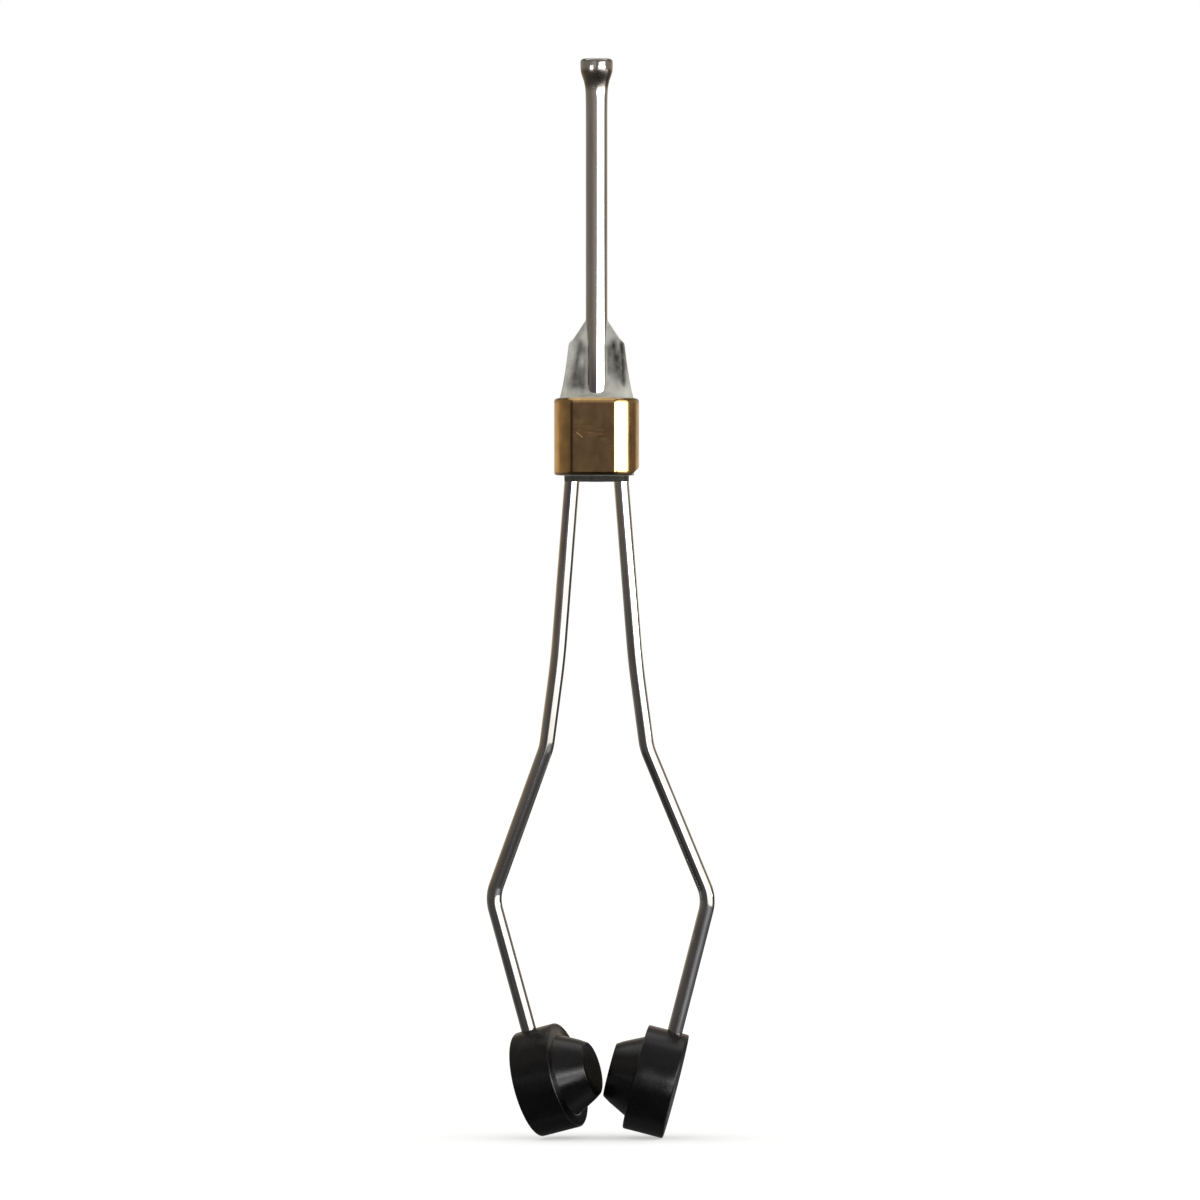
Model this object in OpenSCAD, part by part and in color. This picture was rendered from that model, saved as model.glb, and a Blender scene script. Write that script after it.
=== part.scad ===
// Bobbin holder for fly tying. A flared thread tube and two sprung wire arms are soldered side by side
// in a short brass collar, and a cone-nosed foot on the end of each arm grips one end of a thread spool.
// Lengths are in mm and angles in degrees. The origin is the centre of the tube's lower mouth, where the
// thread goes in. +Z runs up the tube to its tip, and the arms hang below it in the XZ plane.

/* [Thread tube] */
// Length of the thread tube, from its lower mouth to the top of the flared tip
tube_l = 42.3; // [34:0.1:60]
// Outside diameter of the thread tube
tube_d = 2.15; // [1.8:0.05:2.4]
// Wall thickness of the thread tube
tube_wall = 0.25; // [0.15:0.01:0.4]
// Largest diameter of the flared tip
flare_d = 3.25; // [2.8:0.05:4]
// Length over which the tip flares
flare_l = 6; // [4:0.1:9]
// Wall thickness at the lip of the tip
lip_wall = 0.45; // [0.3:0.01:0.6]
// Rounding of the lip's outer edge
lip_r = 0.36; // [0.1:0.01:0.45]
// Chamfer at the lower mouth of the bore
mouth_chamfer = 0.12; // [0.05:0.01:0.2]

/* [Collar] */
// Diameter of the round tube that the collar is made from
collar_w = 8.5; // [8:0.05:10]
// Depth of the collar across the flats pressed in its front and back
collar_d = 7.2; // [6.6:0.05:7.8]
// Turn of those flats away from the wires' plane, towards the left at the front
collar_turn = 6; // [-10:1:10]
// Height of the collar
collar_l = 7.7; // [5:0.1:12]
// Wall thickness of the collar
collar_wall = 0.5; // [0.3:0.01:0.6]
// Rounding of the collar's upper outer edge
collar_top_r = 0.35; // [0.1:0.01:0.45]
// Rounding of the collar's lower outer edge
collar_bottom_r = 0.3; // [0.1:0.01:0.5]
// Bevel along the upper and lower edges of the flats
flat_bevel = 0.3; // [0.1:0.05:0.45]
// Size of the corner that is filed off the collar's lower right
corner_cut = 0.8; // [0.3:0.05:1]

/* [Solder] */
// Depth of solder that stands below the collar
plug_l = 0.65; // [0.3:0.05:1.2]
// Depth of that plug, front to back
plug_d = 3; // [2.4:0.05:4]
// Solder left between a wire and the collar's wall
solder_film = 0.2; // [0.05:0.01:0.3]
// Height of the mound of solder on top of the collar
mound_l = 1.3; // [0.5:0.1:2]
// Thickness of the web of solder between each wire and the tube
web_t = 1.1; // [0.8:0.05:1.3]
// Height that the solder climbs the tube past the ends of the wires
web_climb = 2.3; // [1.5:0.1:4]

/* [Wire arms] */
// Diameter of the spring wire
wire_d = 1.5; // [1.2:0.05:1.6]
// Height of the wire's upper end above the collar
wire_top_l = 5.4; // [4:0.1:7]
// Gap between the wire's upper end and the tube
wire_top_gap = 0.08; // [0.05:0.01:0.4]
// Distance that each wire comes in from the collar's upper rim to its lower mouth
mouth_inset = 0.33; // [0.2:0.01:0.6]
// Length of the first leg, from the collar's mouth to the slight bend
upper_l = 17.9; // [14:0.1:24]
// Outward tilt of the first leg
upper_tilt = 4.5; // [2:0.1:8]
// Length of the second leg, from the slight bend to the shoulder bend
lower_l = 8.8; // [6:0.1:12]
// Outward tilt of the second leg
lower_tilt = 7.5; // [4:0.1:12]
// Length of the left arm's splayed leg
left_splay_l = 15.9; // [12:0.1:20]
// Outward tilt of the left arm's splayed leg
left_splay_tilt = 19.9; // [14:0.1:26]
// Length of the right arm's splayed leg
right_splay_l = 16.3; // [12:0.1:20]
// Outward tilt of the right arm's splayed leg
right_splay_tilt = 22.5; // [14:0.1:26]
// Length of each arm's last leg, from the knee bend to the middle of the foot
last_l = 19.1; // [16:0.05:24]
// Radius of the slight bend, on the wire's centre line
slight_bend_r = 80; // [20:1:120]
// Radius of the shoulder bend
shoulder_bend_r = 6; // [3:0.1:10]
// Radius of the knee bend
knee_bend_r = 4; // [2.5:0.1:6]
// Radius of the bends at the collar's upper rim and lower mouth
collar_bend_r = 3; // [2:0.1:5]
// Share of the first leg that stays still when the arm springs outwards
flex_share = 0.5; // [0.3:0.05:0.7]
// Clearance at the flex point when the arm is fully out
flex_clearance = 0.03; // [0.02:0.01:0.1]
// Furthest outward swing of an arm, with a spool between the feet
flex_max = 14; // [8:1:16]

/* [Feet] */
// Diameter of a foot's disc
foot_d = 10.66; // [9:0.02:12]
// Thickness of a foot's disc
disc_t = 4.15; // [3.4:0.05:5]
// Diameter of the nose where it meets the disc
nose_base_d = 8.24; // [7:0.02:9]
// Diameter of the nose's flat end
nose_tip_d = 5.56; // [4.5:0.02:6.5]
// Length of the nose
nose_l = 2.68; // [2:0.02:3.5]
// Distance from a foot's back face to the wire's centre line
wire_inset = 1.45; // [1.1:0.05:2]
// Rounding of a foot's edges
foot_edge_r = 0.15; // [0.05:0.01:0.3]
// Distance that the wire goes past the middle of the foot
wire_past = 2; // [1:0.1:3]
// Radial clearance of the wire in a foot, on which the foot turns
foot_clearance = 0.03; // [0.01:0.005:0.06]
// Gap between the two noses when the arms are closed
feet_gap = 0.06; // [0.05:0.01:0.5]
// Sideways offset of the closed feet from the tube's centre line
feet_shift = 0.585; // [0:0.005:1]
// Turn of the left foot about its wire, towards the front
left_swivel = 17; // [-10:1:25]
// Turn of the right foot about its wire, towards the front
right_swivel = -3; // [-10:1:10]

/* [Hidden] */
$fn = 64;

// Distance that a cut runs past the surface that it opens
overrun = 0.5;
// Each leg of a wire runs this far into the bends at its ends
bend_overlap = 0.1;
// Extra radius of the wire in its bends, where bending has flattened it a little
bend_swell = 0.012;
// Straight pieces in each small rounded edge
edge_steps = 4;

// Places up the tube and collar
bore_r = tube_d / 2 - tube_wall;
collar_bottom = plug_l;
collar_top = collar_bottom + collar_l;
wire_top = collar_top + wire_top_l;
web_top = wire_top + web_climb;

// Width and depth of the cavity inside the collar, which the solder fills
cavity_w = collar_w - 2 * collar_wall;
cavity_d = collar_d - 2 * collar_wall;

// Centre lines of the wires, as [x, z] points of the right-hand arm. The left-hand one is mirrored.
rim_x = collar_w / 2 - collar_wall - solder_film - wire_d / 2;
mouth_x = rim_x - mouth_inset;
top_point = [tube_d / 2 + wire_top_gap + wire_d / 2, wire_top];
rim_point = [rim_x, collar_top];
mouth_point = [mouth_x, 0];

// The point reached from p by a leg of length l that is tilted outwards from straight down
function leg_end(p, l, tilt) = p + l * [sin(tilt), -cos(tilt)];

// The flex point is where the arm turns when it springs outwards. The gap above it lets the arm turn.
flex_point = leg_end(mouth_point, upper_l * flex_share, upper_tilt);
flex_gap = wire_d / 2 * sin(flex_max) + flex_clearance;
root_end = leg_end(mouth_point, upper_l * flex_share - flex_gap, upper_tilt);
slight_point = leg_end(mouth_point, upper_l, upper_tilt);
shoulder_point = leg_end(slight_point, lower_l, lower_tilt);

// Inward tilt of a last leg of length l, from its knee to a foot at distance x from the tube's centre line
function toe_tilt(knee, x, l) = asin((knee[0] - x) / l);

// Distance from a foot's wire to the furthest edge of its nose, sideways, when its leg is tilted
nose_reach = disc_t - wire_inset + nose_l;
function sideways_reach(tilt) = nose_reach * cos(tilt) + nose_tip_d / 2 * sin(tilt);

// The closed noses stop half the gap short of a line that is shift to the right of the tube. The reach
// depends on the leg's tilt, and the tilt on the distance, so the distance is found in a few rounds.
function foot_distance(knee, l, shift, rounds = 4) =
    rounds == 0 ? nose_reach + shift
    : sideways_reach(toe_tilt(knee, foot_distance(knee, l, shift, rounds - 1), l)) + feet_gap / 2 + shift;

left_knee = leg_end(shoulder_point, left_splay_l, left_splay_tilt);
left_toe_tilt = toe_tilt(left_knee, foot_distance(left_knee, last_l, -feet_shift), last_l);
left_foot_point = leg_end(left_knee, last_l, -left_toe_tilt);
left_wire_end = leg_end(left_knee, last_l + wire_past, -left_toe_tilt);

right_knee = leg_end(shoulder_point, right_splay_l, right_splay_tilt);
right_toe_tilt = toe_tilt(right_knee, foot_distance(right_knee, last_l, feet_shift), last_l);
right_foot_point = leg_end(right_knee, last_l, -right_toe_tilt);
right_wire_end = leg_end(right_knee, last_l + wire_past, -right_toe_tilt);

// Slope of the nose's side, as the angle of its outward normal from straight outwards
nose_angle = atan((nose_base_d - nose_tip_d) / 2 / nose_l);

root_points = [top_point, rim_point, mouth_point, root_end];
root_radii = [collar_bend_r, collar_bend_r];
arm_radii = [slight_bend_r, shoulder_bend_r, knee_bend_r];

// Points of a rounded corner with its centre at c and radius r, from angle a to angle b
function rounded(c, r, a, b) =
    [for (i = [0:edge_steps]) let (angle = a + (b - a) * i / edge_steps) c + r * [cos(angle), sin(angle)]];

// Tilt of the leg that runs from point a to point b, outwards from straight down
function tilt_of(a, b) = atan2(b[0] - a[0], a[1] - b[1]);

// Round wire along [x, z] points, with a bend of the given radius at each point between the ends
module wire(points, radii) {
    last = len(points) - 1;
    tilts = [for (i = [0:last - 1]) tilt_of(points[i], points[i + 1])];
    // Length that each bend takes from the legs on both sides of it
    trims = [for (i = [0:last]) i == 0 || i == last ? 0
        : radii[i - 1] * tan(abs(tilts[i] - tilts[i - 1]) / 2)];
    for (i = [0:last - 1]) {
        // How far the leg stops short of the points at its two ends
        near = i == 0 ? 0 : trims[i] - bend_overlap;
        far = i == last - 1 ? 0 : trims[i + 1] - bend_overlap;
        from = leg_end(points[i], near, tilts[i]);
        l = norm(points[i + 1] - points[i]) - near - far;
        translate([from[0], 0, from[1]])
            rotate([0, 180 - tilts[i], 0])
                cylinder(d = wire_d, h = l);
    }
    for (i = [1:last - 1]) {
        // The bend's centre is outwards of the wire where the wire turns outwards, and inwards otherwise
        turn = sign(tilts[i] - tilts[i - 1]);
        start = leg_end(points[i], -trims[i], tilts[i - 1]);
        centre = start + turn * radii[i - 1] * [cos(tilts[i - 1]), sin(tilts[i - 1])];
        first_angle = min(tilts[i - 1], tilts[i]) + (turn > 0 ? 180 : 0);
        translate([centre[0], 0, centre[1]])
            rotate([90, 0, 0])
                rotate([0, 0, first_angle])
                    rotate_extrude(angle = abs(tilts[i] - tilts[i - 1]))
                        translate([radii[i - 1], 0])
                            circle(r = wire_d / 2 + bend_swell);
    }
}

// Solid flat oval, w wide and d deep, from height bottom up by l
module oval_block(w, d, bottom, l) {
    straight = w - d;
    translate([0, 0, bottom]) {
        for (side = [-1, 1]) translate([side * straight / 2, 0, 0])
            cylinder(d = d, h = l);
        translate([-straight / 2, -d / 2, 0])
            cube([straight, d, l]);
    }
}

// Round block with flats at its front and back, w wide and d deep, turned as the collar is
module pressed_block(w, d, bottom, l) {
    intersection() {
        translate([0, 0, bottom])
            cylinder(d = w, h = l);
        rotate([0, 0, -collar_turn])
            translate([-w / 2, -d / 2, bottom])
                cube([w, d, l]);
    }
}

// Share of the full flare at distance t below the lip: full at the lip, and a long easy curve below it
flare_half_share = 1 / 3;
flare_power = 4;
function flare_share(t) = 1 / (1 + pow(t / (flare_l * flare_half_share), flare_power));
function flare_radius(t, from, to) =
    from + (to - from) * (flare_share(t) - flare_share(flare_l)) / (1 - flare_share(flare_l));

// Seamless stainless tube with a polished, flared tip and a chamfered lower mouth
module thread_tube() {
    flare_steps = 14;
    outer = [for (i = [0:flare_steps - 1])
        let (t = flare_l + (lip_r - flare_l) * i / flare_steps)
            [flare_radius(t, tube_d / 2, flare_d / 2), tube_l - t]];
    lip = rounded([flare_d / 2 - lip_r, tube_l - lip_r], lip_r, 0, 90);
    inner = [for (i = [0:flare_steps])
        let (t = flare_l * i / flare_steps)
            [flare_radius(t, bore_r, flare_d / 2 - lip_wall), tube_l - t]];
    color("lightslategray")
        rotate_extrude()
            polygon(concat(
                [[tube_d / 2, 0]],
                outer,
                lip,
                inner,
                [[bore_r, mouth_chamfer], [bore_r + mouth_chamfer, 0]]
            ));
}

// Round brass tube, pressed flat at its front and back and open inside, with softened rims
module collar() {
    outer_r = collar_w / 2;
    low_edge = [outer_r - collar_bottom_r, collar_bottom + collar_bottom_r];
    high_edge = [outer_r - collar_top_r, collar_top - collar_top_r];
    color("darkgoldenrod")
        difference() {
            intersection() {
                rotate_extrude()
                    polygon(concat(
                        [[0, collar_bottom]],
                        rounded(low_edge, collar_bottom_r, -90, 0),
                        rounded(high_edge, collar_top_r, 0, 90),
                        [[0, collar_top]]
                    ));
                flats();
            }
            pressed_block(cavity_w, cavity_d, collar_bottom - overrun, collar_l + 2 * overrun);
            filed_corner();
        }
}

// The space between the collar's flats, with their bevels, which run on past the rims
module flats() {
    half = collar_d / 2;
    narrow = half - flat_bevel - overrun;
    rotate([0, 0, -collar_turn])
        rotate([90, 0, 90])
            linear_extrude(collar_w + overrun, center = true)
                polygon([
                    [-narrow, collar_bottom - overrun],
                    [narrow, collar_bottom - overrun],
                    [half, collar_bottom + flat_bevel],
                    [half, collar_top - flat_bevel],
                    [narrow, collar_top + overrun],
                    [-narrow, collar_top + overrun],
                    [-half, collar_top - flat_bevel],
                    [-half, collar_bottom + flat_bevel]
                ]);
}

// What is filed off the lower right corner of the collar and its solder, at 45 degrees
module filed_corner() {
    side = corner_cut * sqrt(2);
    translate([collar_w / 2, 0, collar_bottom])
        rotate([0, 45, 0])
            cube([side, collar_w, side], center = true);
}

// The upper ends of both wires, which the collar holds
module wire_roots() {
    for (side = [0, 1]) mirror([side, 0, 0])
        wire(root_points, root_radii);
}

// Share of the web's thickness that the mound's upper edge stands out past the tube
mound_edge_share = 0.25;
// The web starts down from the tube at this share of the way from the wire's centre line to its outer side
web_cover = 0.9;

// Solder that fills the collar round the tube and wires, with a plug below and a web above
module solder() {
    plug_w = 2 * (mouth_x + wire_d / 2 - solder_film);
    web_x = top_point[0] + wire_d / 2 * web_cover;
    web_outline = [
        [-rim_x, collar_top],
        [-web_x, wire_top],
        [-tube_d / 2, web_top],
        [tube_d / 2, web_top],
        [web_x, wire_top],
        [rim_x, collar_top]
    ];
    color("silver")
        difference() {
            union() {
                oval_block(plug_w, plug_d, 0, collar_bottom);
                pressed_block(cavity_w, cavity_d, collar_bottom, collar_l);
                mound();
                rotate([90, 0, 0])
                    linear_extrude(web_t, center = true)
                        polygon(web_outline);
            }
            translate([0, 0, -overrun])
                cylinder(d = tube_d, h = web_top + 2 * overrun);
            wire_roots();
            filed_corner();
        }
}

// Low mound of solder on the collar's upper rim, which narrows towards the tube
module mound() {
    $fn = 32;
    hull() {
        pressed_block(cavity_w, cavity_d, collar_top - overrun, overrun);
        oval_block(2 * rim_x, tube_d + web_t * mound_edge_share, collar_top, mound_l);
    }
}

module left_wire_root() {
    color("slategray")
        mirror([1, 0, 0])
            wire(root_points, root_radii);
}

module right_wire_root() {
    color("slategray")
        wire(root_points, root_radii);
}

// Spring wire from the flex point to its end inside the foot
module left_arm() {
    color("slategray")
        mirror([1, 0, 0])
            wire([flex_point, slight_point, shoulder_point, left_knee, left_wire_end], arm_radii);
}

module right_arm() {
    color("slategray")
        wire([flex_point, slight_point, shoulder_point, right_knee, right_wire_end], arm_radii);
}

// Turned black plastic foot, its axis along Z and the wire's centre line along X. A blind hole in the rim
// takes the wire.
module foot() {
    disc_r = foot_d / 2;
    disc_front = disc_t - wire_inset;
    back_edge = [disc_r - foot_edge_r, foot_edge_r - wire_inset];
    front_edge = [disc_r - foot_edge_r, disc_front - foot_edge_r];
    nose_edge = [nose_tip_d / 2 - foot_edge_r, nose_reach - foot_edge_r];
    color([0.1, 0.1, 0.11])
        difference() {
            rotate_extrude()
                polygon(concat(
                    [[0, -wire_inset]],
                    rounded(back_edge, foot_edge_r, -90, 0),
                    rounded(front_edge, foot_edge_r, 0, 90),
                    [[nose_base_d / 2, disc_front]],
                    rounded(nose_edge, foot_edge_r, nose_angle, 90),
                    [[0, nose_reach]]
                ));
            translate([-wire_past - foot_clearance, 0, 0])
                rotate([0, 90, 0])
                    cylinder(r = wire_d / 2 + foot_clearance, h = wire_past + disc_r + overrun);
        }
}

// A foot on the right-hand arm, at a point on its wire, with that wire's inward tilt and its own turn
module placed_foot(point, tilt, swivel) {
    translate([point[0], 0, point[1]])
        rotate([0, tilt - 90, 0])
            rotate([swivel, 0, 0])
                foot();
}

module left_foot() {
    mirror([1, 0, 0])
        placed_foot(left_foot_point, left_toe_tilt, left_swivel);
}

module right_foot() {
    placed_foot(right_foot_point, right_toe_tilt, right_swivel);
}

thread_tube();
collar();
solder();
left_wire_root();
right_wire_root();
left_arm();
right_arm();
left_foot();
right_foot();
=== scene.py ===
import math

import bpy
import numpy as np
from mathutils import Matrix, Vector


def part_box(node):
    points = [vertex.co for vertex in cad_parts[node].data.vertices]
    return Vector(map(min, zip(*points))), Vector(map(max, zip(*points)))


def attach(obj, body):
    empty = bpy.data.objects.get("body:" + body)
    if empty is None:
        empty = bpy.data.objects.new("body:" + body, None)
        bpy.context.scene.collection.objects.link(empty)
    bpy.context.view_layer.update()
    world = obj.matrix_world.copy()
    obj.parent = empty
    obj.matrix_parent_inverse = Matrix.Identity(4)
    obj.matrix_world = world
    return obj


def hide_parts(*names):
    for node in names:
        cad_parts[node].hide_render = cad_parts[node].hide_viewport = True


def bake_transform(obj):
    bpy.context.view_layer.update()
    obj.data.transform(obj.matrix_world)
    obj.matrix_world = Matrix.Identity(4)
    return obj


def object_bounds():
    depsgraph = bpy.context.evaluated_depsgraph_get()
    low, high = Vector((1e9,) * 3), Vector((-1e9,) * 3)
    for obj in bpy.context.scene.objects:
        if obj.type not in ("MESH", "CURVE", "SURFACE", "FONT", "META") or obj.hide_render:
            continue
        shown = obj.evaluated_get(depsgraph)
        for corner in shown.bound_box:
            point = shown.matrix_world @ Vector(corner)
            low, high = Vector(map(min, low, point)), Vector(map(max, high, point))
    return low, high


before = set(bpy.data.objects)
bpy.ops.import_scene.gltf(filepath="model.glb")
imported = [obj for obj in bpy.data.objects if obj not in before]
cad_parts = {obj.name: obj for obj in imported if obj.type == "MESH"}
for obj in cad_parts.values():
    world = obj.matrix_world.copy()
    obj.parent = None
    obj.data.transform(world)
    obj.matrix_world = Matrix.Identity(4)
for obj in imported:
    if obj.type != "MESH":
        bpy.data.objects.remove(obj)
cad_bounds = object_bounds()


# Thread tube
# A seamless stainless tube, drawn to size and cut. Its upper end is flared and polished so that the thread
# runs out over a smooth lip, and its lower mouth has a small chamfer. It is soldered inside the collar.
MM = 0.001
tube_d = 2.15 * MM
tube_wall = 0.25 * MM
flare_d = 3.25 * MM
flare_l = 6 * MM
flare_half = 2.02 * MM       # how far below the lip half of the flare is left
flare_power = 5              # how suddenly the flare begins
flare_steps = 28
lip_wall = 0.45 * MM
lip_r = 0.36 * MM
lip_inner_r = 0.09 * MM
mouth_chamfer = 0.12 * MM
mouth_edge = 0.04 * MM
around_tube = 96
tube_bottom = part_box("thread_tube")[0].z
tube_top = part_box("thread_tube")[1].z
tube_r = tube_d / 2
bore_r = tube_r - tube_wall
tube_hex = "C6C3BE"
smeared_tube_hex = "B5B0A8"
flare_painted_shade_hex = "78726B"
tube_line_size = (0.09 * MM, 0.09 * MM, 9 * MM)
tube_smear_size = (1.2 * MM, 1.2 * MM, 5 * MM)


def linear(hex_colour):
    """Linear RGBA of an sRGB colour written as six hex digits."""
    channels = [int(hex_colour[i:i + 2], 16) / 255 for i in (0, 2, 4)]
    return [c / 12.92 if c <= 0.04045 else ((c + 0.055) / 1.055) ** 2.4 for c in channels] + [1.0]


def add(tree, kind, settings, inputs):
    """Adds a node, with its settings, and with each input linked to a socket or set to a value."""
    node = tree.nodes.new(kind)
    for name, value in settings.items():
        setattr(node, name, value)
    for name, value in inputs.items():
        if isinstance(value, bpy.types.NodeSocket):
            tree.links.new(value, node.inputs[name])
        else:
            node.inputs[name].default_value = value
    return node


def new_material(name):
    """An empty material, its node tree, and its Object coordinates."""
    material = bpy.data.materials.new(name)
    material.use_nodes = True
    tree = material.node_tree
    tree.nodes.clear()
    place = add(tree, "ShaderNodeTexCoord", {}, {}).outputs["Object"]
    return material, tree, place


def finish_material(tree, shader):
    """Links a shader to the material's surface."""
    add(tree, "ShaderNodeOutputMaterial", {}, {"Surface": shader.outputs[0]})


def noise(tree, place, turn, size, detail=3.0, distortion=0.0):
    """Noise from 0 to 1 whose features have the given size along each axis, after a turn in degrees."""
    mapping = add(tree, "ShaderNodeMapping", {}, {
        "Vector": place,
        "Rotation": [math.radians(a) for a in turn],
        "Scale": [1 / s for s in size],
    })
    return add(tree, "ShaderNodeTexNoise", {}, {
        "Vector": mapping.outputs[0], "Scale": 1.0, "Detail": detail, "Distortion": distortion,
    }).outputs["Fac"]


def remap(tree, value, low, high, to_low, to_high):
    """A value mapped from one range to another, held at both ends."""
    return add(tree, "ShaderNodeMapRange", {"clamp": True}, {
        "Value": value, "From Min": low, "From Max": high, "To Min": to_low, "To Max": to_high,
    }).outputs["Result"]


def bump(tree, height, distance, strength=1.0):
    """A surface normal from a height of 0 to 1 that stands for the given distance."""
    return add(tree, "ShaderNodeBump", {}, {
        "Height": height, "Distance": distance, "Strength": strength,
    }).outputs["Normal"]


def mesh_piece(name, points, faces, material, smooth_angle=40):
    """A named piece from its points and faces, shaded smooth up to an angle in degrees."""
    mesh = bpy.data.meshes.new(name)
    mesh.from_pydata([tuple(map(float, p)) for p in points], [], faces)
    mesh.materials.append(material)
    piece = bpy.data.objects.new(name, mesh)
    bpy.context.scene.collection.objects.link(piece)
    bpy.context.view_layer.update()
    mesh.shade_smooth()
    mesh.set_sharp_from_angle(angle=math.radians(smooth_angle))
    return piece


def ring_faces(rings, around, closed):
    """Four-sided faces between rings of points, the last ring joined to the first if closed."""
    faces = []
    for i in range(rings if closed else rings - 1):
        j = (i + 1) % rings
        for k in range(around):
            m = (k + 1) % around
            faces.append((i * around + k, i * around + m, j * around + m, j * around + k))
    return faces


def corner(centre, radius, start, end, steps):
    """Points along a rounded corner, as pairs, from one angle to another in degrees."""
    angles = [math.radians(start + (end - start) * i / steps) for i in range(steps + 1)]
    return [(centre[0] + radius * math.cos(a), centre[1] + radius * math.sin(a)) for a in angles]


def turned(outline, around):
    """Points of a closed outline, given as radius and height, turned about Z, ring by ring."""
    angles = [2 * math.pi * k / around for k in range(around)]
    return [(r * math.cos(a), r * math.sin(a), z) for r, z in outline for a in angles]


def flare_share(t):
    """Share of the full flare at distance t below the lip, easing away over the flare's length."""
    def raw(d):
        return 1 / (1 + (d / flare_half) ** flare_power)
    return max(0.0, (raw(t) - raw(flare_l)) / (1 - raw(flare_l)))


# Drawn 304 stainless: bright, with faint lines along the tube that spread its highlights a little. A darker,
# duller band round the flare is painted shade: the dark reflection under the lip, painted into the colour.
drawn_tube, tree, place = new_material("drawn_stainless_tube")
lines = noise(tree, place, (0, 0, 0), tube_line_size)
smears = noise(tree, place, (0, 0, 0), tube_smear_size, detail=4)
steel = add(tree, "ShaderNodeMix", {"data_type": "RGBA"}, {
    0: remap(tree, smears, 0.3, 0.7, 0.0, 1.0), 6: linear(tube_hex), 7: linear(smeared_tube_hex),
})
height = add(tree, "ShaderNodeSeparateXYZ", {}, {"Vector": place}).outputs["Z"]
# The band round the flare, below the lip, is painted shade: darker and rougher.
painted_flare_shade = add(tree, "ShaderNodeMath", {"operation": "MULTIPLY"}, {
    0: remap(tree, height, tube_top - 3.3 * MM, tube_top - 2.6 * MM, 0.0, 1.0),
    1: remap(tree, height, tube_top - 1.3 * MM, tube_top - 0.9 * MM, 1.0, 0.0),
})
flare_shaded = add(tree, "ShaderNodeMix", {"data_type": "RGBA"}, {
    0: painted_flare_shade.outputs[0], 6: steel.outputs[2], 7: linear(flare_painted_shade_hex),
})
rough = add(tree, "ShaderNodeMath", {"operation": "MULTIPLY_ADD"}, {
    0: painted_flare_shade.outputs[0], 1: 0.17, 2: remap(tree, lines, 0.3, 0.7, 0.07, 0.11),
})
finish_material(tree, add(tree, "ShaderNodeBsdfPrincipled", {}, {
    "Base Color": flare_shaded.outputs[2],
    "Metallic": 1.0,
    "Roughness": rough.outputs[0],
    "Normal": bump(tree, lines, 0.0004 * MM),
}))

outer = []
inner = []
inner_edge = flare_d / 2 - lip_wall
for i in range(flare_steps + 1):
    below = flare_l + (lip_r - flare_l) * i / flare_steps
    outer.append((tube_r + (flare_d / 2 - tube_r) * flare_share(below), tube_top - below))
for i in range(flare_steps + 1):
    below = lip_r + (flare_l - lip_r) * i / flare_steps
    inner.append((bore_r + (inner_edge - bore_r) * flare_share(below), tube_top - below))
tube_outline = (
    [(bore_r + mouth_chamfer, tube_bottom)]
    + [(tube_r - mouth_edge, tube_bottom), (tube_r, tube_bottom + mouth_edge)]
    + outer
    + corner((flare_d / 2 - lip_r, tube_top - lip_r), lip_r, 10, 90, 9)
    + corner((inner_edge + lip_inner_r, tube_top - lip_inner_r), lip_inner_r, 90, 180, 4)
    + inner
    + [(bore_r, tube_bottom + mouth_chamfer)]
)
thread_tube = mesh_piece(
    "stainless_thread_tube",
    turned(tube_outline, around_tube),
    ring_faces(len(tube_outline), around_tube, closed=True),
    drawn_tube,
)
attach(thread_tube, "frame")
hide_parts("thread_tube")


# Spring wires
# Two hard drawn steel wires, each cut to length and bent by hand in a jig, so that the two differ a little.
# Their straight upper ends are soldered beside the tube, and their lower ends are pushed into the feet.
wire_d = 1.5 * MM
wire_gap = 0.08 * MM
collar_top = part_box("collar")[1].z
wire_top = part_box("left_wire_root")[1].z
rim_x = 2.8 * MM
mouth_x = 2.47 * MM
upper_l, upper_tilt = 17.9 * MM, 4.5
lower_l, lower_tilt = 8.8 * MM, 7.5
splays = {"left": (15.9 * MM, 19.9), "right": (16.3 * MM, 22.5)}
to_foot = 19.1 * MM
wire_in_foot = 2 * MM
last_tilts = {"left": 15.3793, "right": 14.3812}
bend_radii = [3 * MM, 3 * MM, 80 * MM, 6 * MM, 4 * MM]
wire_end_rounding = 0.2 * MM
wire_end_share = 0.82        # the wire's radius at its very end, as a share of the full one
wire_spacing = 0.2 * MM
wire_sides = 40
wire_hex = "BFBCB8"
smeared_wire_hex = "A8A49E"
wire_line_size = (0.08 * MM, 0.08 * MM, 7 * MM)
wire_smear_size = (0.9 * MM, 0.9 * MM, 3.5 * MM)


def leg_end(start, length, tilt):
    """The end of a leg of the wire that is tilted outwards from straight down, as x and z."""
    angle = math.radians(tilt)
    return (start[0] + length * math.sin(angle), start[1] - length * math.cos(angle))


mouth_point = (mouth_x, 0.0)
slight_point = leg_end(mouth_point, upper_l, upper_tilt)
shoulder_point = leg_end(slight_point, lower_l, lower_tilt)
wire_routes = {}
for side in ("left", "right"):
    knee = leg_end(shoulder_point, *splays[side])
    wire_routes[side] = [
        (tube_r + wire_gap + wire_d / 2, wire_top),
        (rim_x, collar_top),
        mouth_point,
        slight_point,
        shoulder_point,
        knee,
        leg_end(knee, to_foot + wire_in_foot, -last_tilts[side]),
    ]

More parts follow.
